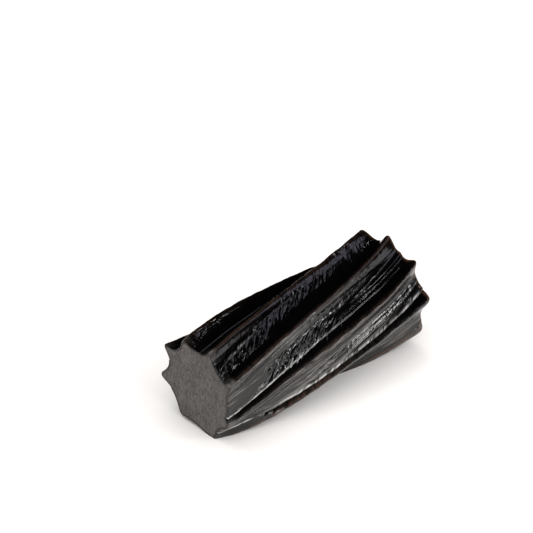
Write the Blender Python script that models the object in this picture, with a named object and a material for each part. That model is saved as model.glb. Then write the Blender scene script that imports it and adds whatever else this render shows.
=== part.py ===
"""Piece of black licorice, cut from a twisted, fluted rope.

The piece is one solid that lies on its side along X, with a flat cut at each end. Eight pointed
fins stand on a round core, with hollow flanks between them. They screw left-handed round the
piece, quicker towards the far end (+X), and stand higher there. A ninth, low fin grows between two
of them over the far half. The lowest fins are pressed flat where the piece rests.

Angles round the core are in degrees, from the front (-Y) up over the top (+Z) to the back.
"""
from dataclasses import dataclass
import math

import bmesh
import bpy

MM = 0.001

# The piece as a whole, in millimetres
LENGTH = 44.2
CUT_SLANT = 0.037            # how far the cuts lean along X for each millimetre across
NEAR_AXIS_HEIGHT = 7.8
FAR_AXIS_HEIGHT = 8.25
AXIS_SAG = 0.1
NEAR_CORE_RADIUS = 7.15
FAR_CORE_RADIUS = 7.2
NEAR_RIM_ROUND = 0.25
FAR_RIM_ROUND = 0.6

# The turn: an even part, and a part that comes in late, towards the far end
LATE_TURN = 0.3
LATE_TURN_POWER = 6

FIN_TAPER = 1.5              # how fast a fin's flanks fall away from its crest

# The mesh
BAY_STEPS = (0.0, 0.07, 0.16, 0.3, 0.5, 0.7, 0.84, 0.93)   # points from one crest to the next
BODY_RINGS = 44
RIM_STEPS = 3
PRESS_SNAP = 0.02            # points this close to the resting plane are moved onto it
PLANE_TOLERANCE = 0.0002
SHARP_ANGLE = 50.0


@dataclass(frozen=True)
class Fin:
    """One fin: where its crest stands at each cut, and how high and wide it is there.

    Angles and widths are in degrees round the core, heights in millimetres above it. The lead is
    how far the crest is ahead of the even turn half-way along, the swell how much higher it is.
    """

    near_angle: float
    near_height: float
    near_width: float
    far_angle: float
    far_height: float
    far_width: float
    lead: float = 4.0
    swell: float = 0.1


# In order round the near cut, from the front fin upwards
FINS = (
    Fin(26.0, 1.4, 8.5, 93.5, 2.2, 11.5, lead=5.0, swell=-0.4),
    Fin(70.0, 1.4, 9.0, 133.5, 3.0, 14.0, lead=5.0, swell=-0.5),
    Fin(115.0, 1.2, 11.0, 175.0, 2.4, 15.0, lead=12.0, swell=0.7),
    Fin(152.0, 2.2, 8.0, 221.0, 2.3, 12.0, swell=0.4),
    Fin(190.5, 2.2, 11.0, 268.0, 1.8, 13.0),
    Fin(237.5, 1.2, 13.0, 326.0, 2.2, 14.0, lead=13.0, swell=0.8),
    Fin(292.5, 1.8, 15.0, 371.0, 2.5, 16.0, lead=23.0, swell=0.9),
    Fin(328.5, 1.0, 10.0, 411.0, 2.4, 8.0, lead=11.0, swell=-0.8),
)
LOW_FIN_BAY = 7              # the low fin stands half-way between this fin and the next
LOW_FIN_HEIGHT = 0.4
LOW_FIN_WIDTH = 5.0
LOW_FIN_POWER = 3            # its height grows with this power of the way along


def blend(near: float, far: float, way: float) -> float:
    """A value that goes evenly from the near cut to the far one."""
    return near + (far - near) * way


def middle(way: float) -> float:
    """Nothing at the cuts and 1 half-way along."""
    return 4 * way * (1 - way)


def crest_angles(way: float) -> list[float]:
    """The crests' angles, one for each fin, at a place along the piece."""
    turned = (way + LATE_TURN * way ** LATE_TURN_POWER) / (1 + LATE_TURN)
    return [blend(fin.near_angle, fin.far_angle, turned) + fin.lead * middle(way) for fin in FINS]


def bay_angles(crests: list[float]) -> list[float]:
    """The angles of one ring's points: each crest, then the points of the bay behind it."""
    angles = []
    for index, crest in enumerate(crests):
        following = crests[(index + 1) % len(crests)]
        span = (following - crest) % 360
        angles += [crest + span * step for step in BAY_STEPS]
    return angles


def fin_profile(angle: float, crest: float, width: float) -> float:
    """The height of a fin as a share of its crest: a pointed top with hollow flanks."""
    offset = (angle - crest + 180) % 360 - 180
    return (1 + (offset / width) ** 2) ** -FIN_TAPER


def surface_radius(angle: float, crests: list[float], way: float) -> float:
    """The distance from the axis to the surface."""
    radius = blend(NEAR_CORE_RADIUS, FAR_CORE_RADIUS, way)
    for fin, crest in zip(FINS, crests):
        height = blend(fin.near_height, fin.far_height, way) + fin.swell * middle(way)
        radius += height * fin_profile(angle, crest, blend(fin.near_width, fin.far_width, way))
    low_crest = crests[LOW_FIN_BAY] + ((crests[0] - crests[LOW_FIN_BAY]) % 360) / 2
    low_height = LOW_FIN_HEIGHT * way ** LOW_FIN_POWER
    return radius + low_height * fin_profile(angle, low_crest, LOW_FIN_WIDTH)


def rim_inset(distance: float, rounding: float) -> float:
    """How far a rounded rim has drawn in at a distance from its cut."""
    if distance >= rounding:
        return 0.0
    return rounding - math.sqrt(rounding ** 2 - (rounding - distance) ** 2)


def ring_places() -> list[float]:
    """The rings' places along the piece, close together where the rims are round."""
    near_rim = [NEAR_RIM_ROUND * (1 - math.cos(math.pi / 2 * step / RIM_STEPS))
                for step in range(RIM_STEPS)]
    far_rim = [LENGTH - FAR_RIM_ROUND * (1 - math.cos(math.pi / 2 * step / RIM_STEPS))
               for step in range(RIM_STEPS)]
    body_length = LENGTH - NEAR_RIM_ROUND - FAR_RIM_ROUND
    body = [NEAR_RIM_ROUND + body_length * ring / (BODY_RINGS - 1) for ring in range(BODY_RINGS)]
    return near_rim + body + far_rim[::-1]


def ring_points(place: float) -> list[tuple[float, float, float]]:
    """One ring of surface points, in metres."""
    way = place / LENGTH
    inset = max(rim_inset(place, NEAR_RIM_ROUND), rim_inset(LENGTH - place, FAR_RIM_ROUND))
    axis_z = blend(NEAR_AXIS_HEIGHT, FAR_AXIS_HEIGHT, way) - AXIS_SAG * middle(way)
    crests = crest_angles(way)
    points = []
    for angle in bay_angles(crests):
        radius = surface_radius(angle, crests, way) - inset
        y = -radius * math.cos(math.radians(angle))
        z = axis_z + radius * math.sin(math.radians(angle))
        x = place - LENGTH / 2 + CUT_SLANT * y
        points.append((x * MM, y * MM, z * MM))
    return points


def press_flat(shape: bmesh.types.BMesh) -> None:
    """Levels off what would sink below z = 0, and closes each patch with a flat face."""
    for vertex in shape.verts:
        if abs(vertex.co.z) < PRESS_SNAP * MM:
            vertex.co.z = 0.0
    everything = shape.verts[:] + shape.edges[:] + shape.faces[:]
    levelled = bmesh.ops.bisect_plane(shape, geom=everything, dist=PLANE_TOLERANCE * MM,
                                      plane_co=(0, 0, 0), plane_no=(0, 0, 1), clear_inner=True)
    border = [part for part in levelled["geom_cut"] if isinstance(part, bmesh.types.BMEdge)]
    bmesh.ops.holes_fill(shape, edges=border)


def licorice_mesh() -> bpy.types.Mesh:
    """The whole surface: rings joined by strips of faces, and a fan of triangles on each cut."""
    shape = bmesh.new()
    rings = [[shape.verts.new(point) for point in ring_points(place)] for place in ring_places()]
    for ring, following in zip(rings, rings[1:]):
        for index in range(len(ring)):
            after = (index + 1) % len(ring)
            shape.faces.new((ring[index], ring[after], following[after], following[index]))
    cuts = [shape.faces.new(rings[0]), shape.faces.new(rings[-1])]
    bmesh.ops.poke(shape, faces=cuts)
    press_flat(shape)
    bmesh.ops.recalc_face_normals(shape, faces=shape.faces[:])
    mesh = bpy.data.meshes.new("licorice_piece")
    shape.to_mesh(mesh)
    shape.free()
    return mesh


def centre_over_origin(mesh: bpy.types.Mesh) -> None:
    """Slides the mesh so that the origin is under the middle of its box."""
    xs = [vertex.co.x for vertex in mesh.vertices]
    ys = [vertex.co.y for vertex in mesh.vertices]
    middle_x = (min(xs) + max(xs)) / 2
    middle_y = (min(ys) + max(ys)) / 2
    for vertex in mesh.vertices:
        vertex.co.x -= middle_x
        vertex.co.y -= middle_y


def licorice_material() -> bpy.types.Material:
    """Near-black, glossy candy."""
    material = bpy.data.materials.new("black_licorice")
    material.use_nodes = True
    surface = material.node_tree.nodes["Principled BSDF"]
    surface.inputs["Base Color"].default_value = (0.006, 0.005, 0.005, 1.0)
    surface.inputs["Roughness"].default_value = 0.25
    surface.inputs["Metallic"].default_value = 0.0
    return material


def clear_scene() -> None:
    """Removes whatever the open file holds."""
    for existing in list(bpy.data.objects):
        bpy.data.objects.remove(existing, do_unlink=True)


def build() -> None:
    """Makes the licorice piece."""
    clear_scene()
    mesh = licorice_mesh()
    centre_over_origin(mesh)
    mesh.materials.append(licorice_material())
    mesh.shade_smooth()
    mesh.set_sharp_from_angle(angle=math.radians(SHARP_ANGLE))
    piece = bpy.data.objects.new("licorice_piece", mesh)
    bpy.context.scene.collection.objects.link(piece)


build()
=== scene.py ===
"""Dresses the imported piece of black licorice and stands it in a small, plain studio.

The skin and the two cuts are one closed mesh, made by Geometry Nodes from the same screwing fins as
the solid, with the fine grooves, folds and crinkles that the solid leaves out.

Lengths in the tables are in millimetres and angles in degrees. Angles round the piece start at the
front (-Y) and go up over the top (+Z) to the back.
"""
from dataclasses import dataclass, field, fields
from enum import Enum
import logging
import math
from typing import Union

import bpy
from bpy.types import Material, Node, NodeSocket, NodeTree, Object
from mathutils import Matrix, Vector


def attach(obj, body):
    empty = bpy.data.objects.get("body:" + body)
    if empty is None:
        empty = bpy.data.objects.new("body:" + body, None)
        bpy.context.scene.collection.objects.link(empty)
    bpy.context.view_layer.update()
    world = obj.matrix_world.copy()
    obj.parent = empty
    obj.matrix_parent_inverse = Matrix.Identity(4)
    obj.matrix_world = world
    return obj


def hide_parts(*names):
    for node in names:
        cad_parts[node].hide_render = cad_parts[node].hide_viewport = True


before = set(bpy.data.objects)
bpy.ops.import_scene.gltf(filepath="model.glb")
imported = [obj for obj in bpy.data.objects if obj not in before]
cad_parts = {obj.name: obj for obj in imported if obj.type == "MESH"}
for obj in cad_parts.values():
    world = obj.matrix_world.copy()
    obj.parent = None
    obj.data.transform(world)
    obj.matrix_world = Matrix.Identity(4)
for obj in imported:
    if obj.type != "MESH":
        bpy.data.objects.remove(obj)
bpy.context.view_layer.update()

LOG = logging.getLogger("licorice")
MM = 0.001
PICTURE_SIDE = 533
FULL_TURN = 360.0
HALF_TURN = 180.0
QUARTER_TURN = 90.0
COLUMN_SLACK = 0.01  # keeps the number of a column clear of rounding
Triple = tuple[float, float, float]
Colour = Triple


class Marking(Enum):
    """What the skin's points carry for the finishes to read."""

    FOLLOW = "follow"
    CRUMPLE = "crumple"
    CREST = "crest"
    CRINKLE = "crinkle"
    # Where the flanks are scuffed matte and painted with sheen of the light on them
    SCUFF = "scuff"
    # Where a painted brown glow of light shines through thin skin
    THIN = "thin"
    # Where the lips' edges carry a painted pale glint
    WORN = "worn"
    RIM = "rim"


class FinName(Enum):
    """The fins, in order round the near cut from the front one upwards."""

    FRONT = 0
    TOP = 1
    CROWN = 2
    BACK_TOP = 3
    BACK = 4
    UNDER = 5
    LOW_FRONT = 6
    MIDDLE_FRONT = 7


@dataclass(frozen=True)
class Fin:
    """One fin: where its crest stands at each cut, and how high and wide it is there.

    The lead is how far the crest is ahead of the even turn half-way along, the swell how much
    higher it is there.
    """

    near_angle: float
    near_height: float
    near_width: float
    far_angle: float
    far_height: float
    far_width: float
    lead: float = 4.0
    swell: float = 0.1


@dataclass(frozen=True)
class Step:
    """A smooth step: where it starts and ends, and its value before and after."""

    start: float
    end: float
    low: float = 0.0
    high: float = 1.0


@dataclass(frozen=True)
class Tone:
    """Uneven tone: how wide its patches are, and its lowest and highest value."""

    size: float
    low: float = 0.0
    high: float = 1.0


@dataclass(frozen=True)
class Grain:
    """Crumpled grain: how wide it is, how it is stretched, and how many finer layers it has."""

    size: float
    stretch: Triple
    detail: float = 1.0


@dataclass(frozen=True)
class Run:
    """A value that changes along the piece.

    It is given at the near cut and at the far one, with what is added half-way between them.
    """

    near: float
    far: float
    bulge: float = 0.0


@dataclass(frozen=True)
class Folds:
    """How the skin of one fin is folded: angles from the crest of the plain fin, in degrees.

    From its sharp crest a straight ledge runs up the piece and down to a crease, where the skin of
    the bay folds over it in a lip. A fine groove runs below the crest, and the skin is matte from
    scuffing, with painted sheen of the light on the downward flank, as far below the crest as its
    scuffing reach says. The tint is how strong a painted brown glow of light shining through the
    thin crest is, and the glint share how strong a painted pale glint on the lip's edge is.
    """

    crest: Run = Run(2.0, 1.0)
    crease: Run = Run(13.0, 15.0)
    groove: Run = Run(-7.0, -9.0)
    ledge_drop: Run = Run(0.15, 0.25)
    hollow: Run = Run(0.0, 0.0)
    lip: Run = Run(0.04, 0.04)
    groove_depth: Run = Run(0.06, 0.04)
    crest_rise: Run = Run(0.12, 0.10)
    scuff: Run = Run(0.0, 0.0)
    tint: Run = Run(0.4, 0.4)
    wear: Run = Run(0.0, 0.0)


@dataclass(frozen=True)
class Band:
    """A stretch of crinkled skin beside a fin's crest, at an angle from it in degrees.

    It fades in at its start and out at its end, as shares of the piece's length.
    """

    fin: FinName
    offset: Run
    width: float
    strength: float
    start: float = -1.0
    end: float = 2.0


class Field:
    """An output of a node tree that sums can be written with."""

    def __init__(self, plan: "Plan", socket: NodeSocket) -> None:
        """Keeps the output.

        Args:
            plan: The node tree that it belongs to.
            socket: The output itself.
        """
        self.plan = plan
        self.socket = socket

    def maths(self, operation: str, *others: "Value") -> "Field":
        """Adds one maths node.

        Args:
            operation: What the node does with its inputs.
            others: The inputs after this one.

        Returns:
            The node's result.
        """
        node = self.plan.tree.nodes.new("ShaderNodeMath")
        node.operation = operation
        for socket, value in zip(node.inputs, (self, *others)):
            self.plan.plug(socket, value)
        return Field(self.plan, node.outputs[0])

    def __add__(self, other: "Value") -> "Field":
        """The sum."""
        return self.maths("ADD", other)

    def __radd__(self, other: "Value") -> "Field":
        """The sum, from the right."""
        return self.maths("ADD", other)

    def __sub__(self, other: "Value") -> "Field":
        """The difference."""
        return self.maths("SUBTRACT", other)

    def __rsub__(self, other: "Value") -> "Field":
        """The difference, from the right."""
        return self.maths("MULTIPLY", -1.0).maths("ADD", other)

    def __mul__(self, other: "Value") -> "Field":
        """The product."""
        return self.maths("MULTIPLY", other)

    def __truediv__(self, other: "Value") -> "Field":
        """The quotient."""
        return self.maths("DIVIDE", other)

    def clamped(self) -> "Field":
        """The value, kept from 0 to 1."""
        return self.maths("MAXIMUM", 0.0).maths("MINIMUM", 1.0)

    def sine(self) -> "Field":
        """The sine of an angle in degrees."""
        return self.maths("RADIANS").maths("SINE")

    def cosine(self) -> "Field":
        """The cosine of an angle in degrees."""
        return self.maths("RADIANS").maths("COSINE")


Value = Union[float, int, str, bool, tuple, Field, Material]


def find_socket(sockets: bpy.types.bpy_prop_collection, name: str) -> NodeSocket:
    """One of a node's inputs or outputs, by its identifier or else its name."""
    by_identifier = [socket for socket in sockets if socket.identifier == name]
    return by_identifier[0] if by_identifier else sockets[name]


class Plan:
    """A node tree while it is drawn up."""

    def __init__(self, tree: NodeTree) -> None:
        """Keeps the tree.

        Args:
            tree: The node tree to add to.
        """
        self.tree = tree

    def plug(self, socket: NodeSocket, value: Value) -> None:
        """Feeds an input.

        Args:
            socket: The input.
            value: An output to link to it, or a constant.
        """
        if isinstance(value, Field):
            self.tree.links.new(value.socket, socket)
        else:
            socket.default_value = value

    def add(self, kind: str, plugs: dict[str, Value], **settings: object) -> Node:
        """Adds a node.

        Args:
            kind: Its type.
            plugs: What goes into its inputs, by name or identifier.
            settings: Its options.

        Returns:
            The node.
        """
        node = self.tree.nodes.new(kind)
        for name, value in settings.items():
            setattr(node, name, value)
        for name, value in plugs.items():
            self.plug(find_socket(node.inputs, name), value)
        return node

    def out(self, node: Node, name: str) -> Field:
        """One of a node's outputs, by name or identifier."""
        return Field(self, find_socket(node.outputs, name))

    def group(self, tree: NodeTree, plugs: dict[str, Value]) -> Node:
        """Places a node group.

        Args:
            tree: The group's tree.
            plugs: What goes into its inputs, by name.

        Returns:
            The group's node.
        """
        kind = "GeometryNodeGroup" if tree.bl_idname == "GeometryNodeTree" else "ShaderNodeGroup"
        node = self.tree.nodes.new(kind)
        node.node_tree = tree
        for name, value in plugs.items():
            self.plug(node.inputs[name], value)
        return node

    def ramp(self, value: Value, start: Value, end: Value, low: Value = 0.0,
             high: Value = 1.0) -> Field:
        """A smooth step from one value to another, held outside it.

        Args:
            value: What is measured.
            start: Where the step starts.
            end: Where it ends.
            low: The result before it.
            high: The result after it.

        Returns:
            The result.
        """
        node = self.add("ShaderNodeMapRange", {"Value": value, "From Min": start, "From Max": end,
                                               "To Min": low, "To Max": high},
                        interpolation_type="SMOOTHSTEP")
        return self.out(node, "Result")

    def step(self, value: Value, step: Step) -> Field:
        """What a described step makes of a value."""
        return self.ramp(value, step.start, step.end, step.low, step.high)

    def noise(self, vector: Value, size: Value, detail: Value = 2.0,
              distortion: Value = 0.0) -> Field:
        """Noise from 0 to 1, with its middle at about one half.

        Args:
            vector: Where it is read, in millimetres.
            size: How wide its bumps are, in millimetres.
            detail: How many finer layers it has.
            distortion: How far it is pulled about.

        Returns:
            The noise.
        """
        scale = size.maths("POWER", -1.0) if isinstance(size, Field) else 1.0 / size
        node = self.add("ShaderNodeTexNoise", {"Vector": vector, "Scale": scale, "Detail": detail,
                                               "Distortion": distortion})
        return self.out(node, "Fac")

    def noise_along(self, place: Value) -> Field:
        """Noise along a line, from 0 to 1, with its middle at about one half."""
        node = self.add("ShaderNodeTexNoise", {"W": place, "Scale": 1.0, "Detail": 2.0},
                        noise_dimensions="1D")
        return self.out(node, "Fac")

    def vector(self, x: Value, y: Value, z: Value) -> Field:
        """A vector from its three parts."""
        return self.out(self.add("ShaderNodeCombineXYZ", {"X": x, "Y": y, "Z": z}), "Vector")

    def marking(self, marking: Marking, output: str = "Fac") -> Field:
        """Reads in a material what the skin's points carry."""
        node = self.add("ShaderNodeAttribute", {}, attribute_name=marking.value)
        return self.out(node, output)

    def bump(self, surface: Node, height: Field) -> None:
        """Gives a surface fine relief, of a height in millimetres."""
        node = self.add("ShaderNodeBump", {"Height": height, "Distance": MM, "Strength": 1.0})
        self.plug(surface.inputs["Normal"], self.out(node, "Normal"))

    def pick(self, index: Field, choices: list[Value]) -> Field:
        """Picks one of several values.

        Args:
            index: The number of the one to take, from 0 up.
            choices: The values.

        Returns:
            The value with that number.
        """
        node = self.add("GeometryNodeIndexSwitch", {}, data_type="FLOAT")
        while len(node.index_switch_items) < len(choices):
            node.index_switch_items.new()
        self.plug(node.inputs["Index"], index)
        for socket, choice in zip(node.inputs[1:], choices):
            self.plug(socket, choice)
        return self.out(node, "Output")

    def mix(self, share: Value, first: Value, second: Value) -> Field:
        """A colour between two others, by the second one's share."""
        node = self.add("ShaderNodeMix", {"Factor_Float": share, "A_Color": first,
                                          "B_Color": second}, data_type="RGBA")
        return self.out(node, "Result_Color")


def new_tree(name: str, kind: str, inputs: dict[str, tuple[str, Value]],
             outputs: dict[str, str]) -> tuple[Plan, dict[str, Field], Node]:
    """Starts a node tree with named inputs and outputs.

    Args:
        name: The tree's name.
        kind: Its type.
        inputs: Each input's socket type and usual value, by name.
        outputs: Each output's socket type, by name.

    Returns:
        The plan of the tree, its inputs as fields, and the node that takes its outputs.
    """
    tree = bpy.data.node_groups.new(name, kind)
    for label, (socket_type, value) in inputs.items():
        socket = tree.interface.new_socket(label, in_out="INPUT", socket_type=socket_type)
        if value is not None:
            socket.default_value = value
    for label, socket_type in outputs.items():
        tree.interface.new_socket(label, in_out="OUTPUT", socket_type=socket_type)
    plan = Plan(tree)
    source = tree.nodes.new("NodeGroupInput")
    given = {label: Field(plan, source.outputs[label]) for label in inputs}
    return plan, given, tree.nodes.new("NodeGroupOutput")


def floats(*names: str) -> dict[str, tuple[str, Value]]:
    """Plain number inputs for a node tree."""
    return {name: ("NodeSocketFloat", 0.0) for name in names}


def numbers(record: object) -> dict[str, float]:
    """The decimal numbers that a dataclass holds, by the names of the inputs that take them."""
    values = {item.name: getattr(record, item.name) for item in fields(record)}
    return {name.replace("_", " ").title(): value for name, value in values.items()
            if isinstance(value, float)}


def opaque(colour: Colour) -> tuple[float, float, float, float]:
    """A colour as a colour socket takes it."""
    return (*colour, 1.0)


def new_material(name: str) -> tuple[Material, Plan, Node]:
    """Starts a material.

    Args:
        name: Its name.

    Returns:
        The material, the plan of its nodes, and its surface shader.
    """
    material = bpy.data.materials.new(name)
    material.use_nodes = True
    return material, Plan(material.node_tree), material.node_tree.nodes["Principled BSDF"]


def new_object(name: str, data: bpy.types.ID) -> Object:
    """Adds an object to the scene.

    Args:
        name: Its name.
        data: Its mesh, light or camera.

    Returns:
        The object.
    """
    added = bpy.data.objects.new(name, data)
    bpy.context.scene.collection.objects.link(added)
    return added


class SharedEffects:
    """The node groups that both finishes use."""

    def __init__(self) -> None:
        """Builds the groups."""
        self.tone_tree = self.tone_group()
        self.grain_tree = self.grain_group()

    @staticmethod
    def tone_group() -> NodeTree:
        """Builds the uneven tone: noise, stretched between two values.

        Returns:
            The group.
        """
        plan, given, end = new_tree(
            "uneven_tone", "ShaderNodeTree",
            {"Vector": ("NodeSocketVector", None), **floats("Size", "Low", "High")},
            {"Value": "NodeSocketFloat"})
        noise = plan.noise(given["Vector"], given["Size"], detail=3.0)
        plan.plug(end.inputs["Value"], plan.ramp(noise, 0.3, 0.7, given["Low"], given["High"]))
        return plan.tree

    @staticmethod
    def grain_group() -> NodeTree:
        """Builds the crumpled grain: broad ridges with finer grain on them.

        Returns:
            The group.
        """
        plan, given, end = new_tree(
            "crumpled_grain", "ShaderNodeTree",
            {"Vector": ("NodeSocketVector", None), "Stretch": ("NodeSocketVector", (1.0, 1.0, 1.0)),
             **floats("Size", "Detail")},
            {"Height": "NodeSocketFloat"})
        pulled = plan.out(plan.add("ShaderNodeVectorMath", {"Vector": given["Vector"],
                                                            "Vector_001": given["Stretch"]},
                                   operation="MULTIPLY"), "Vector")
        broad = plan.noise(pulled, given["Size"] * 2, detail=0.0, distortion=0.8)
        fine = plan.noise(pulled, given["Size"], detail=given["Detail"], distortion=0.4)
        ridges = 1 - (broad * 2 - 1).maths("ABSOLUTE") * 2
        plan.plug(end.inputs["Height"], ridges * 0.5 + fine)
        return plan.tree

    def tone(self, plan: Plan, vector: Field, tone: Tone) -> Field:
        """The uneven tone in a material, read at a place in millimetres."""
        node = plan.group(self.tone_tree, {"Vector": vector, **numbers(tone)})
        return plan.out(node, "Value")

    def grain(self, plan: Plan, vector: Field, grain: Grain) -> Field:
        """The crumpled grain in a material, from about 0 to 1.5."""
        node = plan.group(self.grain_tree, {"Vector": vector, "Stretch": grain.stretch,
                                            **numbers(grain)})
        return plan.out(node, "Height")


@dataclass(frozen=True)
class Skin:
    """Glossy black candy skin with a painted brown glow where light shines through thin skin,
    crinkled in the hollows.

    Below some crests it is matte from scuffing, coloured there partly by that scuffing and partly
    with painted sheen of the light on the downward flanks. It is smeared by the knife beside the
    near cut, and the lips' edges carry a painted pale glint.
    """

    black: Colour = (0.0008, 0.0006, 0.0006)
    # Painted brown glow of light shining through thin crests
    brown: Colour = (0.075, 0.042, 0.029)
    glow_brown_share: float = 0.8
    # Painted brown glow of light shining through the thin far rim
    rim_glow_brown: Colour = (0.065, 0.030, 0.014)
    bloom: Colour = (0.030, 0.026, 0.023)
    bloom_share: float = 0.3
    smear: Colour = (0.105, 0.098, 0.090)
    # Scuffed flanks: partly the real scuffing, partly painted sheen of the light that falls on the
    # downward flanks
    scuffed: Colour = (0.116, 0.105, 0.097)
    # Painted pale glint on the lips' edges, standing in for the bright reflection along the folds
    rubbed: Colour = (0.42, 0.41, 0.40)
    gloss: float = 0.5
    roughness: float = 0.09
    patch_roughness: float = 0.06
    crest_roughness: float = 0.12
    smear_roughness: float = 0.4
    scuff_roughness: float = 0.3
    patches: Tone = Tone(3.0, 0.35, 1.0)
    spots: Tone = Tone(0.5)
    crumple: Grain = Grain(0.46, (0.6, 1.0, 1.0), detail=0.0)
    crumple_depth: float = 0.17
    lines: Grain = Grain(0.5, (0.03, 1.0, 1.0))
    streaks: Grain = Grain(0.20, (0.06, 1.0, 1.0))
    streak_depth: float = 0.012
    streak_fade: float = 3.0
    specks: Step = Step(0.5, 0.9, 0.15, 1.0)
    scuffed_streaks: Step = Step(0.68, 1.05, 0.15, 1.0)
    scuffed_lines: Step = Step(0.66, 0.90)
    rubbed_lines: Step = Step(0.5, 0.9, 0.3, 1.5)
    smeared_rim: Step = Step(2.2, 0.4)
    smeared_crest: float = 0.4
    smear_floor: float = 0.4
    glow_browned_rim: Step = Step(42.2, 44.0)
    glow_browned_edge: Step = Step(43.2, 43.8)

    def material(self, effects: SharedEffects) -> Material:
        """Makes the material.

        Args:
            effects: The groups that the finishes share.

        Returns:
            The material.
        """
        material, plan, surface = new_material("licorice_skin")
        follow = plan.marking(Marking.FOLLOW, "Vector")
        crest = plan.marking(Marking.CREST)
        crinkle = plan.marking(Marking.CRINKLE)
        place = plan.out(plan.add("ShaderNodeSeparateXYZ", {"Vector": follow}), "X")
        patches = effects.tone(plan, follow, self.patches)
        spots = effects.tone(plan, follow, self.spots)
        crumple = effects.grain(plan, plan.marking(Marking.CRUMPLE, "Vector"), self.crumple)
        streaks = effects.grain(plan, follow, self.streaks)
        lines = effects.grain(plan, follow, self.lines)
        specks = plan.step(crumple, self.specks)

        # Painted brown glow of light through the thin far rim, and through the thin crests below
        edge = plan.step(place, self.glow_browned_edge) * spots
        brown = (plan.marking(Marking.THIN) * specks
                 * (1 + plan.step(place, self.glow_browned_rim))).clamped()
        smear = (plan.step(place, self.smeared_rim) * crest.maths("POWER", self.smeared_crest)
                 * (spots * (1 - self.smear_floor) + self.smear_floor)).clamped()
        # Scuffed flanks, matte, with painted sheen of the light on the downward flanks in their
        # colour
        dull_and_sheen = (plan.marking(Marking.SCUFF) * plan.step(streaks, self.scuffed_streaks)
                * plan.step(lines, self.scuffed_lines))
        # Painted glint: pale lines on the lips' edges, broken by the crumple
        rubbed = (plan.marking(Marking.WORN) * specks
                  * plan.step(lines, self.rubbed_lines)).clamped()
        colour = opaque(self.black)
        for share, layer in (
                (edge, self.rim_glow_brown), (crest * spots * self.bloom_share, self.bloom),
                (dull_and_sheen, self.scuffed), (brown * self.glow_brown_share, self.brown),
                (smear, self.smear), (rubbed, self.rubbed)):
            colour = plan.mix(share, colour, opaque(layer))

        plan.plug(surface.inputs["Base Color"], colour)
        plan.plug(surface.inputs["Roughness"],
                  self.roughness + patches * self.patch_roughness + crest * self.crest_roughness
                  + smear * self.smear_roughness + dull_and_sheen * self.scuff_roughness)
        surface.inputs["Specular IOR Level"].default_value = self.gloss
        smooth = (1 - crinkle * self.streak_fade).clamped()
        plan.bump(surface, crumple * crinkle * self.crumple_depth
                  + streaks * smooth * self.streak_depth)
        return material


@dataclass(frozen=True)
class CutFace:
    """Dull, dark grey cut, with the knife's fine upright grain and a darker rim."""

    grey: Colour = (0.135, 0.124, 0.116)
    shade: Colour = (0.067, 0.061, 0.057)
    rim: Colour = (0.016, 0.009, 0.006)
    rim_share: float = 0.8
    rim_place: Step = Step(0.95, 0.99)
    rim_wander: float = 0.04
    roughness: float = 0.72
    gloss: float = 0.3
    grain: Grain = Grain(0.18, (1.0, 1.0, 0.4))
    grain_depth: float = 0.02
    grain_contrast: float = 2.0
    grain_middle: float = 1.35
    patches: Tone = Tone(2.5, 0.0, 0.5)

    def material(self, effects: SharedEffects) -> Material:
        """Makes the material.

        Args:
            effects: The groups that the finishes share.

        Returns:
            The material.
        """
        material, plan, surface = new_material("licorice_cut")
        place = plan.out(plan.add("ShaderNodeTexCoord", {}), "Object")
        place = plan.out(plan.add("ShaderNodeMapping", {"Vector": place,
                                                        "Scale": (1 / MM, 1 / MM, 1 / MM)}),
                         "Vector")
        upright = effects.grain(plan, place, self.grain)
        patches = effects.tone(plan, place, self.patches)
        pale = (upright * self.grain_contrast + patches - self.grain_middle).clamped()
        edge = plan.step(plan.marking(Marking.RIM) + patches * self.rim_wander, self.rim_place)
        colour = plan.mix(pale, opaque(self.shade), opaque(self.grey))
        colour = plan.mix(edge * self.rim_share, colour, opaque(self.rim))
        plan.plug(surface.inputs["Base Color"], colour)
        surface.inputs["Roughness"].default_value = self.roughness
        surface.inputs["Specular IOR Level"].default_value = self.gloss
        plan.bump(surface, upright * self.grain_depth)
        return material


@dataclass(frozen=True)
class Waver:
    """How quickly a crest's line and height waver along the piece.

    The height reads the noise further on than the line does, and each fin further than the last.
    """

    line_pace: float = 0.13
    height_pace: float = 0.3
    height_ahead: float = 40.0
    fin_ahead: float = 17.3


@dataclass(frozen=True)
class Marks:
    """How the markings that the finishes read lie on the skin.

    Widths, reaches and the soft edge of the scuffing with its painted sheen are in degrees round
    the piece, sizes in millimetres, and the bands' fade is a share of its length. Crinkles take the
    scuffing and its painted sheen away.
    """

    taper: float = 3.0
    crest_width: float = 2.5
    # How wide the painted brown glow through a thin crest is
    thin_width: float = 4.5
    # How wide the painted pale glint on a lip's edge is
    worn_width: float = 1.3
    band_fade: float = 0.08
    patch_size: float = 3.0
    patches: Step = Step(0.3, 0.6, 0.5, 1.0)
    ragged_size: float = 1.5
    ragged_reach: float = 8.0
    # The scuffing's soft edge, and the values below, place the scuffed flanks with their painted
    # sheen
    scuff_sheen_edge: float = 2.0
    scuff_sheen_least_reach: float = 4.0
    scuff_sheen_share: float = 1.1
    scuff_sheen_loss: float = 2.2


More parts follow.
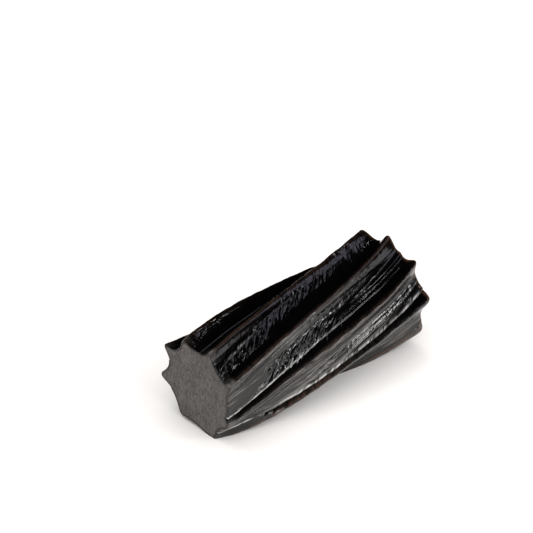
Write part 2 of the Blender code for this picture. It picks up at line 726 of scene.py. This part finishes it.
@dataclass
class LicoricePiece:
    """The whole piece: eight screwing fins on a round core, cut flat at both ends.

    Each decimal number here is an input of the shape's tree, under the same name.
    """

    length: float = 44.2
    cut_slant: float = 0.037
    slide_x: float = -0.0302
    slide_y: float = 0.1427
    near_axis_height: float = 7.8
    far_axis_height: float = 8.25
    axis_sag: float = 0.1
    near_core: float = 7.15
    far_core: float = 7.2
    near_round: float = 0.25
    far_round: float = 0.6
    late_turn: float = 0.3
    late_turn_power: float = 6.0
    fin_taper: float = 1.5
    mean_turn: float = 73.0
    low_fin_height: float = 0.4
    low_fin_width: float = 5.0
    low_fin_power: float = 3.0
    ledge_columns: int = 11
    open_columns: int = 26
    flank_columns: int = 8
    lip_columns: int = 8
    hollow_columns: int = 18
    fold_columns: int = 2
    fold_angle: float = 1.3
    trough_width: float = 1.5
    least_slope: float = 0.05
    rings: int = 222
    rim_rings: int = 6
    cut_rings: int = 6
    press_ease: float = 0.25
    crest_wander: float = 0.8
    crest_unevenness: float = 0.05
    crinkle_size: float = 0.7
    crinkle_height: float = 0.20
    crinkle_twist: float = 0.4
    crinkle_lean: float = 4.0
    crinkle_stretch: float = 0.6
    plain_crinkle: float = 0.12
    seed: float = 5.0
    fins: tuple[Fin, ...] = (
        Fin(26.0, 1.4, 8.5, 93.5, 2.2, 11.5, lead=5.0, swell=-0.4),
        Fin(70.0, 1.4, 9.0, 133.5, 3.0, 14.0, lead=5.0, swell=-0.5),
        Fin(115.0, 1.2, 11.0, 175.0, 2.4, 15.0, lead=12.0, swell=0.7),
        Fin(152.0, 2.2, 8.0, 221.0, 2.3, 12.0, swell=0.4),
        Fin(190.5, 2.2, 11.0, 268.0, 1.8, 13.0),
        Fin(237.5, 1.2, 13.0, 326.0, 2.2, 14.0, lead=13.0, swell=0.8),
        Fin(292.5, 1.8, 15.0, 371.0, 2.5, 16.0, lead=23.0, swell=0.9),
        Fin(328.5, 1.0, 10.0, 411.0, 2.4, 8.0, lead=11.0, swell=-0.8),
    )
    folds: tuple[Folds, ...] = (
        Folds(crest=Run(3.5, -1.0, -1.0), crease=Run(12.0, 14.5, 1.0),
              groove=Run(-10.5, -12.5, 7.5), ledge_drop=Run(0.03, 0.05),
              groove_depth=Run(0.15, 0.05, 0.08), lip=Run(0.0, 0.0),
              crest_rise=Run(0.12, 0.0), scuff=Run(30.0, -4.0, -4.0),
              tint=Run(0.25, 0.2)),
        Folds(crest=Run(2.2, 0.0), crease=Run(15.0, 17.0, 2.0), crest_rise=Run(0.12, 0.02)),
        Folds(tint=Run(1.0, 0.8)),
        Folds(crease=Run(12.0, 14.0)),
        Folds(crease=Run(14.0, 16.0), scuff=Run(20.0, 14.0)),
        Folds(crest=Run(4.0, 5.0), crease=Run(7.0, 8.0), ledge_drop=Run(0.05, 0.05),
              scuff=Run(45.0, 45.0), tint=Run(0.6, 0.9)),
        Folds(crest=Run(2.0, 0.5, 0.2), crease=Run(13.0, 9.0, -8.5), groove=Run(-6.0, -6.0),
              ledge_drop=Run(0.10, 0.30), hollow=Run(0.1, 0.3, 0.35), lip=Run(0.12, 0.12),
              crest_rise=Run(0.08, 0.10), scuff=Run(45.0, 45.0), tint=Run(1.5, -0.9),
              wear=Run(0.8, 0.4, 1.2)),
        Folds(crest=Run(4.0, -2.5, 2.5), crease=Run(12.0, 9.5, 2.6), groove=Run(-2.5, -9.0),
              ledge_drop=Run(0.50, 0.05, -0.10), lip=Run(0.10, 0.0, 0.25),
              groove_depth=Run(0.04, 0.03), crest_rise=Run(0.15, 0.02),
              scuff=Run(18.0, 17.0, 9.0), tint=Run(0.1, 0.2), wear=Run(1.3, -1.0, 0.2)),
    )
    bands: tuple[Band, ...] = (
        Band(FinName.TOP, Run(-24.0, -24.0), 7.0, 1.1, end=0.32),
        Band(FinName.TOP, Run(-13.0, -13.0), 10.0, 0.55, 0.20, 0.75),
        Band(FinName.FRONT, Run(-21.0, -22.0), 12.0, 1.0, 0.16, 0.56),
        Band(FinName.FRONT, Run(-24.0, -22.0), 11.0, 1.1, 0.19, 0.62),
        Band(FinName.FRONT, Run(-23.0, -22.0), 12.0, -0.05, start=0.55),
        Band(FinName.MIDDLE_FRONT, Run(-17.0, -15.0), 9.0, 0.3, start=0.74),
        Band(FinName.MIDDLE_FRONT, Run(15.0, 14.5), 3.5, 0.9, end=0.35),
        Band(FinName.LOW_FRONT, Run(14.0, 10.0, -8.5), 3.0, 0.7, 0.2, 0.7),
        Band(FinName.LOW_FRONT, Run(-6.0, -6.0), 10.0, 0.4, end=0.35),
        Band(FinName.CROWN, Run(-18.0, -16.0), 14.0, 0.25, end=0.45),
    )
    waver: Waver = Waver()
    marks: Marks = Marks()
    body: str = "root"
    node: str = "licorice_piece"
    slot: str = "black_licorice"
    _crest_tree: NodeTree = field(init=False, default=None)
    _relief_tree: NodeTree = field(init=False, default=None)

    @property
    def bay_columns(self) -> int:
        """The columns of points from one crest to the next."""
        return self.ledge_columns + self.open_columns + self.flank_columns + 3 * self.fold_columns

    @property
    def columns(self) -> int:
        """All the columns of points round the piece."""
        return self.bay_columns * len(self.fins)

    def crest_group(self) -> NodeTree:
        """Makes the group that finds a fin's crest: its angle, height and width at a place.

        Returns:
            The group.
        """
        plan, given, end = new_tree(
            "fin_crest", "GeometryNodeTree",
            floats("Way", "Turned", "Middle", *numbers(self.fins[0]), "Seed", "Wander",
                   "Unevenness"),
            {name: "NodeSocketFloat" for name in ("Angle", "Height", "Width")})
        place = given["Way"] * self.length
        sway = plan.noise_along(place * self.waver.line_pace + given["Seed"])
        rise = plan.noise_along(place * self.waver.height_pace + given["Seed"]
                                + self.waver.height_ahead)
        sway = (sway - 0.5) * 2 * given["Wander"]
        rise = (rise - 0.5) * 2 * given["Unevenness"] + 1
        turn = (given["Far Angle"] - given["Near Angle"]) * given["Turned"]
        plan.plug(end.inputs["Angle"],
                  given["Near Angle"] + turn + given["Lead"] * given["Middle"] + sway)
        grown = (given["Far Height"] - given["Near Height"]) * given["Way"]
        height = given["Near Height"] + grown + given["Swell"] * given["Middle"]
        plan.plug(end.inputs["Height"], height * rise)
        widened = (given["Far Width"] - given["Near Width"]) * given["Way"]
        plan.plug(end.inputs["Width"], given["Near Width"] + widened)
        return plan.tree

    def relief_group(self) -> NodeTree:
        """Makes the group for the shape across a fin or band, as a share of its height.

        Returns:
            The group.
        """
        plan, given, end = new_tree("relief_across", "GeometryNodeTree",
                                    floats("Angle", "Crest Angle", "Width", "Taper"),
                                    {"Share": "NodeSocketFloat"})
        offset = (given["Angle"] - given["Crest Angle"]).maths("WRAP", HALF_TURN, -HALF_TURN)
        across = (offset / given["Width"]).maths("POWER", 2.0)
        plan.plug(end.inputs["Share"], (across + 1).maths("POWER", 0 - given["Taper"]))
        return plan.tree

    def share(self, plan: Plan, angle: Value, crest: Value, width: Value,
              taper: Value) -> Field:
        """The shape across a fin, band or marking at an angle, 1 in its middle."""
        node = plan.group(self._relief_tree, {"Angle": angle, "Crest Angle": crest,
                                              "Width": width, "Taper": taper})
        return plan.out(node, "Share")

    def band_share(self, plan: Plan, band: Band, angle: Field, crest: Field, way: Field,
                   middle: Field) -> Field:
        """How crinkled a band makes the skin at a place.

        Args:
            plan: The tree to add to.
            band: The band.
            angle: The angle round the piece.
            crest: The crest angle of the band's fin.
            way: The share of the length.
            middle: Nothing at the cuts and 1 half-way along.

        Returns:
            The strength there.
        """
        centre = crest + self.run(band.offset, way, middle)
        fade = self.marks.band_fade
        strength = self.share(plan, angle, centre, band.width, self.marks.taper) * band.strength
        if band.start > 0:
            strength = strength * plan.ramp(way, band.start, band.start + fade)
        if band.end < 1:
            strength = strength * plan.ramp(way, band.end, band.end - fade)
        return strength

    def run(self, run: Run, way: Field, middle: Field) -> Field:
        """What a value that changes along the piece comes to at a place."""
        return way * (run.far - run.near) + run.near + middle * run.bulge

    def shape_tree(self) -> NodeTree:
        """Draws up the whole shape: a closed tube of rings with a fan on each cut.

        Returns:
            The shape's tree.
        """
        marks = self.marks
        plan, given, end = new_tree(
            "licorice_shape", "GeometryNodeTree",
            {**floats(*numbers(self)),
             **{name: ("NodeSocketInt", 1)
                for name in ("Columns", "Rings", "Rim Rings", "Cut Rings")},
             "Skin": ("NodeSocketMaterial", None), "Cut": ("NodeSocketMaterial", None)},
            {"Geometry": "NodeSocketGeometry"})

        # A plain tube, whose points are numbered round it and along it
        tube = plan.add("GeometryNodeMeshCylinder",
                        {"Vertices": given["Columns"], "Side Segments": given["Rings"],
                         "Fill Segments": given["Cut Rings"], "Radius": 1.0, "Depth": 1.0},
                        fill_type="TRIANGLE_FAN")
        raw = plan.add("ShaderNodeSeparateXYZ",
                       {"Vector": plan.out(plan.add("GeometryNodeInputPosition", {}),
                                           "Position")})
        raw_x, raw_y, raw_z = (plan.out(raw, axis) for axis in "XYZ")
        turn_share = raw_x.maths("ARCTAN2", raw_y) / math.tau + 1
        column = (turn_share * given["Columns"] + COLUMN_SLACK).maths("MODULO", given["Columns"])
        from_centre = (raw_x * raw_x + raw_y * raw_y).maths("SQRT")
        step = raw_z + 0.5

        # Where the point stands along the piece, with close rings on the round rims
        near_bend = (step * given["Rings"] / given["Rim Rings"]).clamped() * QUARTER_TURN
        far_bend = ((1 - step) * given["Rings"] / given["Rim Rings"]).clamped() * QUARTER_TURN
        rim_share = given["Rim Rings"] / given["Rings"]
        between = ((step - rim_share) / (1 - rim_share * 2)).clamped()
        plain_length = given["Length"] - given["Near Round"] - given["Far Round"]
        place = (given["Near Round"] * (1 - near_bend.cosine()) + between * plain_length
                 + given["Far Round"] * far_bend.cosine())
        inset = (given["Near Round"] * (1 - near_bend.sine())
                 + given["Far Round"] * (1 - far_bend.sine()))
        way = place / given["Length"]
        middle = way * (1 - way) * 4
        late = way.maths("POWER", given["Late Turn Power"]) * given["Late Turn"]
        turned = (way + late) / (given["Late Turn"] + 1)

        # The crests of the plain fins there
        crests, heights, widths = [], [], []
        for index, fin in enumerate(self.fins):
            node = plan.group(self._crest_tree, {
                "Way": way, "Turned": turned, "Middle": middle, **numbers(fin),
                "Seed": given["Seed"] + index * self.waver.fin_ahead,
                "Wander": given["Crest Wander"], "Unevenness": given["Crest Unevenness"]})
            for values, name in ((crests, "Angle"), (heights, "Height"), (widths, "Width")):
                values.append(plan.out(node, name))

        # The bay that the point is in, from one crest to the next, and how far into it
        bay = (column / self.bay_columns).maths("FLOOR")
        within = column - bay * self.bay_columns - COLUMN_SLACK

        def along(name: str) -> list[Field]:
            """One of the folds' values for every fin, at a place."""
            return [self.run(getattr(folds, name), way, middle) for folds in self.folds]

        def following(values: list[Field], turn: float = 0.0) -> list[Field]:
            """The same list for the fin after each, which may be a full turn further."""
            return values[1:] + [values[0] + turn]

        def stretch(start: int, count: int) -> Field:
            """From 0 to 1 over some of a bay's columns."""
            return ((within - start) / count).clamped()

        # Its angle: over the ledge and the fold, the open bay, the groove and the flank
        sharp, creases, grooves = ([crest + offset for crest, offset in zip(crests, along(name))]
                                   for name in ("crest", "crease", "groove"))
        first, last = plan.pick(bay, sharp), plan.pick(bay, following(sharp, FULL_TURN))
        crease = plan.pick(bay, creases)
        groove = plan.pick(bay, following(grooves, FULL_TURN))
        fold = given["Fold Angle"]
        trough = fold * given["Trough Width"]
        wall_start = self.ledge_columns
        open_start = wall_start + self.fold_columns
        groove_start = open_start + self.open_columns
        groove_middle = groove_start + self.fold_columns
        flank_start = groove_middle + self.fold_columns
        on_ledge = stretch(0, self.ledge_columns)
        on_wall = stretch(wall_start, self.fold_columns)
        into_groove = stretch(groove_start, self.fold_columns)
        out_of_groove = stretch(groove_middle, self.fold_columns)
        on_flank = stretch(flank_start, self.flank_columns)
        angle = (first + (crease - first) * on_ledge + fold * on_wall
                 + (groove - crease - fold - trough) * stretch(open_start, self.open_columns)
                 + trough * into_groove + trough * out_of_groove
                 + (last - groove - trough) * on_flank)

        # The places that patterns are read at, which turn with the fins
        straight = angle - given["Mean Turn"] * turned
        follow = plan.vector(place, straight.cosine() * given["Near Core"],
                             straight.sine() * given["Near Core"])
        leaning = straight - place * given["Crinkle Lean"]
        crinkled = plan.vector(place * given["Crinkle Stretch"],
                               leaning.cosine() * given["Near Core"],
                               leaning.sine() * given["Near Core"])

        # Its distance from the axis: the core, the fins and the folds
        radius = given["Near Core"] + (given["Far Core"] - given["Near Core"]) * way
        for crest, height, width in zip(crests, heights, widths):
            radius = radius + height * self.share(plan, angle, crest, width, given["Fin Taper"])
        low_crest = (crests[-1] + crests[0] + FULL_TURN) * 0.5
        low_height = given["Low Fin Height"] * way.maths("POWER", given["Low Fin Power"])
        radius = radius + low_height * self.share(plan, angle, low_crest, given["Low Fin Width"],
                                                  given["Fin Taper"])
        lip_fade = 1 - stretch(open_start, self.lip_columns)
        radius = (radius - plan.pick(bay, along("ledge_drop")) * (on_ledge - on_wall)
                  - plan.pick(bay, along("hollow"))
                  * (on_ledge - stretch(wall_start, self.hollow_columns))
                  + plan.pick(bay, along("lip")) * (on_wall + lip_fade - 1)
                  - plan.pick(bay, following(along("groove_depth")))
                  * (into_groove - out_of_groove)
                  + plan.pick(bay, along("crest_rise")) * (1 - on_ledge)
                  + plan.pick(bay, following(along("crest_rise"))) * on_flank)

        # The markings, and the crinkles
        at_first = self.share(plan, angle, first, marks.crest_width, marks.taper)
        at_last = self.share(plan, angle, last, marks.crest_width, marks.taper)
        crest_mark = at_first + at_last
        # Painted brown glow where light shines through the thin crests
        thin = (at_first * plan.pick(bay, along("tint")).clamped()
                + self.share(plan, angle, last, marks.thin_width, marks.taper)
                * plan.pick(bay, following(along("tint"))).clamped())
        # Painted pale glint along the edge of each lip, as strong as each fin's glint share
        worn = (self.share(plan, angle, crease + trough, marks.worn_width, marks.taper)
                * plan.pick(bay, along("wear")) * on_wall).clamped()
        crinkle = given["Plain Crinkle"] * (1 - crest_mark).clamped()
        for band in self.bands:
            crinkle = crinkle + self.band_share(plan, band, angle, crests[band.fin.value], way,
                                                middle)
        crinkle = crinkle * plan.step(plan.noise(follow, marks.patch_size), marks.patches)
        # Scuffed flanks below the crests, with painted sheen of the light on them, taken away by
        # crinkles
        scuff_sheen_reach = plan.pick(bay, following(along("scuff")))
        below = last - angle + (plan.noise(follow, marks.ragged_size) - 0.5) * marks.ragged_reach
        scuff = (plan.ramp(below, scuff_sheen_reach + marks.scuff_sheen_edge, scuff_sheen_reach - marks.scuff_sheen_edge)
                 * (scuff_sheen_reach / marks.scuff_sheen_least_reach).clamped()
                 * (on_wall - into_groove + out_of_groove)
                 * (marks.scuff_sheen_share - crinkle * marks.scuff_sheen_loss).clamped())
        wrinkle = plan.noise(crinkled, given["Crinkle Size"], detail=0.0,
                             distortion=given["Crinkle Twist"])
        radius = radius + (wrinkle - 0.5) * given["Crinkle Height"] * crinkle

        # Its place in the frame, eased onto the floor where the piece rests
        axis_height = (given["Near Axis Height"]
                       + (given["Far Axis Height"] - given["Near Axis Height"]) * way
                       - given["Axis Sag"] * middle)
        downward = (angle.sine() * -1).maths("MAXIMUM", given["Least Slope"])
        radius = (radius - inset).maths("SMOOTH_MIN", axis_height / downward,
                                        given["Press Ease"])
        reach = radius * from_centre
        y = reach * angle.cosine() * -1
        z = axis_height + reach * angle.sine()
        x = place - given["Length"] * 0.5 + given["Cut Slant"] * y
        spot = plan.vector((x + given["Slide X"]) * MM, (y + given["Slide Y"]) * MM, z * MM)

        # The tube takes its markings, its shape and its finishes
        geometry = plan.out(tube, "Mesh")
        for marking, value in (
                (Marking.FOLLOW, follow), (Marking.CRUMPLE, crinkled),
                (Marking.CREST, crest_mark), (Marking.CRINKLE, crinkle), (Marking.SCUFF, scuff),
                (Marking.THIN, thin), (Marking.WORN, worn), (Marking.RIM, from_centre)):
            kind = "FLOAT_VECTOR" if value.socket.type == "VECTOR" else "FLOAT"
            store = plan.add("GeometryNodeStoreNamedAttribute",
                             {"Geometry": geometry, "Name": marking.value, "Value": value},
                             data_type=kind, domain="POINT")
            geometry = plan.out(store, "Geometry")
        ends = plan.out(plan.add("FunctionNodeBooleanMath",
                                 {"Boolean": plan.out(tube, "Top"),
                                  "Boolean_001": plan.out(tube, "Bottom")}, operation="OR"),
                        "Boolean")
        for kind, plugs, settings in (
                ("SetPosition", {"Position": spot}, {}),
                ("SetShadeSmooth", {"Shade Smooth": plan.out(tube, "Side")}, {"domain": "FACE"}),
                ("RealizeInstances", {}, {}),
                ("SetMaterial", {"Material": given["Skin"]}, {}),
                ("SetMaterial", {"Selection": ends, "Material": given["Cut"]}, {})):
            node = plan.add("GeometryNode" + kind, {"Geometry": geometry, **plugs}, **settings)
            geometry = plan.out(node, "Geometry")
        plan.plug(end.inputs["Geometry"], geometry)
        return plan.tree

    def values(self, skin: Material, cut: Material) -> dict[str, Value]:
        """The shape's named inputs.

        Args:
            skin: The finish of the skin.
            cut: The finish of the two cuts.

        Returns:
            The value of each input, by name.
        """
        return {**numbers(self), "Columns": self.columns, "Rings": self.rings,
                "Rim Rings": self.rim_rings, "Cut Rings": self.cut_rings, "Skin": skin,
                "Cut": cut}

    def build(self, skin: Material, cut: Material) -> Object:
        """Makes the piece as a plain mesh and places it in the frame.

        Args:
            skin: The finish of the skin.
            cut: The finish of the two cuts.

        Returns:
            The finished piece.
        """
        self._crest_tree = self.crest_group()
        self._relief_tree = self.relief_group()
        tree = self.shape_tree()
        maker = new_object("licorice_maker", bpy.data.meshes.new("licorice_maker"))
        shaper = maker.modifiers.new("shape", "NODES")
        shaper.node_group = tree
        sockets = {socket.name: socket.identifier for socket in tree.interface.items_tree
                   if socket.in_out == "INPUT"}
        for name, value in self.values(skin, cut).items():
            shaper[sockets[name]] = value
        depsgraph = bpy.context.evaluated_depsgraph_get()
        mesh = bpy.data.meshes.new_from_object(maker.evaluated_get(depsgraph),
                                               preserve_all_data_layers=True,
                                               depsgraph=depsgraph)
        maker.modifiers.remove(shaper)
        bpy.data.objects.remove(maker, do_unlink=True)
        mesh.name = "licorice"
        piece = new_object("licorice", mesh)
        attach(piece, self.body)
        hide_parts(self.node)
        return piece


@dataclass(frozen=True)
class SoftBox:
    """A soft light that faces the piece, placed by its direction from it.

    The azimuth is in degrees from +X towards +Y, the distance, width and height in metres. The
    brightness is what a mirror would show of it, against 1 for plain white.
    """

    name: str
    azimuth: float
    elevation: float
    distance: float
    width: float
    height: float
    brightness: float
    tint: Colour = (1.0, 1.0, 1.0)
    mirrored: bool = True

    def place(self) -> Object:
        """Stands the light in the scene.

        Returns:
            The light.
        """
        lamp = bpy.data.lights.new(self.name, "AREA")
        lamp.shape = "RECTANGLE"
        lamp.size = self.width
        lamp.size_y = self.height
        lamp.energy = self.brightness * math.pi * self.width * self.height
        lamp.color = self.tint
        azimuth, elevation = math.radians(self.azimuth), math.radians(self.elevation)
        towards = Vector((math.cos(azimuth) * math.cos(elevation),
                          math.sin(azimuth) * math.cos(elevation), math.sin(elevation)))
        box = new_object(self.name, lamp)
        box.location = towards * self.distance
        box.rotation_mode = "QUATERNION"
        box.rotation_quaternion = towards.to_track_quat("Z", "Y")
        box.visible_camera = False
        box.visible_glossy = self.mirrored
        return box


@dataclass
class Studio:
    """A white floor and a black card under soft lights, with their sizes in metres."""

    floor_side: float = 6.0
    floor_white: Colour = (0.90, 0.877, 0.857)
    floor_roughness: float = 0.9
    floor_gloss: float = 0.1
    flag_reach: tuple[float, float] = (-0.09, 0.16)
    flag_back: float = 0.036
    flag_height: float = 0.03
    flag_black: Colour = (0.0, 0.0, 0.0)
    gloom: Colour = (0.0015, 0.0015, 0.002)
    backdrop: Colour = (1.0, 1.0, 1.0)
    lights: tuple[SoftBox, ...] = (
        SoftBox("sky", 90.0, 89.0, 0.8, 3.0, 3.0, 0.89, mirrored=False),
        SoftBox("key", 80.0, 60.0, 0.9, 0.9, 0.9, 1.1, mirrored=False),
        SoftBox("front_fill", -80.0, 35.0, 1.0, 0.8, 0.6, 2.7, mirrored=False),
        SoftBox("left_fill", -150.0, 50.0, 0.9, 0.7, 0.7, 1.6),
        SoftBox("front_low", -76.0, 2.0, 1.0, 0.5, 0.06, 12.0),
        SoftBox("right_window", -33.0, 6.0, 1.0, 0.28, 0.3, 1.3, (0.97, 0.96, 1.0)),
        SoftBox("right_back", -15.0, 44.0, 1.0, 0.34, 0.2, 1.2, (0.86, 0.83, 1.0)),
        SoftBox("far_back", 8.0, 36.0, 1.0, 0.36, 0.1, 1.3, (0.86, 0.83, 1.0)),
        SoftBox("spark", -54.5, 19.0, 1.0, 0.15, 0.18, 17.0),
        SoftBox("near_spark", -34.0, 47.0, 1.0, 0.05, 0.05, 20.0),
        SoftBox("crown_spark", 33.0, 34.0, 1.0, 0.02, 0.02, 35.0),
    )

    def card(self, name: str, corners: list[Triple],
             material: Material) -> Object:
        """Adds a flat card that is no part of the piece.

        Args:
            name: Its name.
            corners: Its four corners, in metres.
            material: Its finish.

        Returns:
            The card.
        """
        mesh = bpy.data.meshes.new(name)
        mesh.from_pydata(corners, [], [(0, 1, 2, 3)])
        mesh.materials.append(material)
        card = new_object(name, mesh)
        return card

    def floor(self) -> Object:
        """Lays the floor, with its top at zero height.

        Returns:
            The floor.
        """
        material, _, surface = new_material("floor_white")
        surface.inputs["Base Color"].default_value = opaque(self.floor_white)
        surface.inputs["Roughness"].default_value = self.floor_roughness
        surface.inputs["Specular IOR Level"].default_value = self.floor_gloss
        half = self.floor_side / 2
        return self.card("floor", [(-half, -half, 0), (half, -half, 0), (half, half, 0),
                                   (-half, half, 0)], material)

    def flag(self) -> Object:
        """Stands a black card behind the piece, for its gloss alone to see.

        Returns:
            The card.
        """
        material, _, surface = new_material("flag_black")
        surface.inputs["Base Color"].default_value = opaque(self.flag_black)
        surface.inputs["Specular IOR Level"].default_value = 0.0
        left, right = self.flag_reach
        flag = self.card("flag", [(left, self.flag_back, 0), (right, self.flag_back, 0),
                                  (right, self.flag_back, self.flag_height),
                                  (left, self.flag_back, self.flag_height)], material)
        flag.visible_camera = False
        flag.visible_diffuse = False
        flag.visible_shadow = False
        return flag

    def surroundings(self) -> None:
        """Sets a white backdrop that the camera sees, and dim surroundings for all else."""
        world = bpy.data.worlds.new("studio")
        world.use_nodes = True
        bpy.context.scene.world = world
        plan = Plan(world.node_tree)
        seen = plan.out(plan.add("ShaderNodeLightPath", {}), "Is Camera Ray")
        colour = plan.mix(seen, opaque(self.gloom), opaque(self.backdrop))
        plan.plug(world.node_tree.nodes["Background"].inputs["Color"], colour)

    def build(self) -> None:
        """Sets up the floor, the surroundings and the lights."""
        self.floor()
        self.flag()
        self.surroundings()
        for light in self.lights:
            light.place()
        bpy.context.scene.view_settings.view_transform = "Standard"


@dataclass
class Viewpoint:
    """The camera, placed as the photograph's. Its distance is in millimetres."""

    elevation: float = 32.5
    azimuth: float = -44.0
    distance: float = 650.0
    pixels_per_mm: float = 6.2
    aim_pixel: tuple[float, float] = (198.4, 389.1)
    sensor: float = 36.0
    clip_start: float = 0.01

    def build(self, aim: Vector) -> Object:
        """Stands the camera so that a point lands on its pixel.

        Args:
            aim: The point, in millimetres.

        Returns:
            The camera.
        """
        elevation, azimuth = math.radians(self.elevation), math.radians(self.azimuth)
        back = Vector((math.sin(azimuth) * math.cos(elevation),
                       -math.cos(azimuth) * math.cos(elevation), math.sin(elevation)))
        right = Vector((math.cos(azimuth), math.sin(azimuth), 0.0))
        up = back.cross(right)
        middle = PICTURE_SIDE / 2
        across = (self.aim_pixel[0] - middle) / self.pixels_per_mm
        down = (self.aim_pixel[1] - middle) / self.pixels_per_mm
        spot = aim + back * self.distance - right * across + up * down
        data = bpy.data.cameras.new("camera")
        data.sensor_width = self.sensor
        data.lens = self.pixels_per_mm * self.distance / PICTURE_SIDE * self.sensor
        data.clip_start = self.clip_start
        camera = new_object("camera", data)
        turned = Matrix((right, up, back)).transposed().to_4x4()
        camera.matrix_world = Matrix.Translation(spot * MM) @ turned
        bpy.context.scene.camera = camera
        return camera


def main() -> None:
    """Builds the piece, the studio and the camera."""
    logging.basicConfig(level=logging.INFO)
    effects = SharedEffects()
    licorice = LicoricePiece()
    piece = licorice.build(Skin().material(effects), CutFace().material(effects))
    LOG.info("%s: %d faces", piece.name, len(piece.data.polygons))
    Studio().build()
    aim = Vector((licorice.slide_x - licorice.length / 2, licorice.slide_y,
                  licorice.near_axis_height))
    Viewpoint().build(aim)


if __name__ == "__main__":
    main()
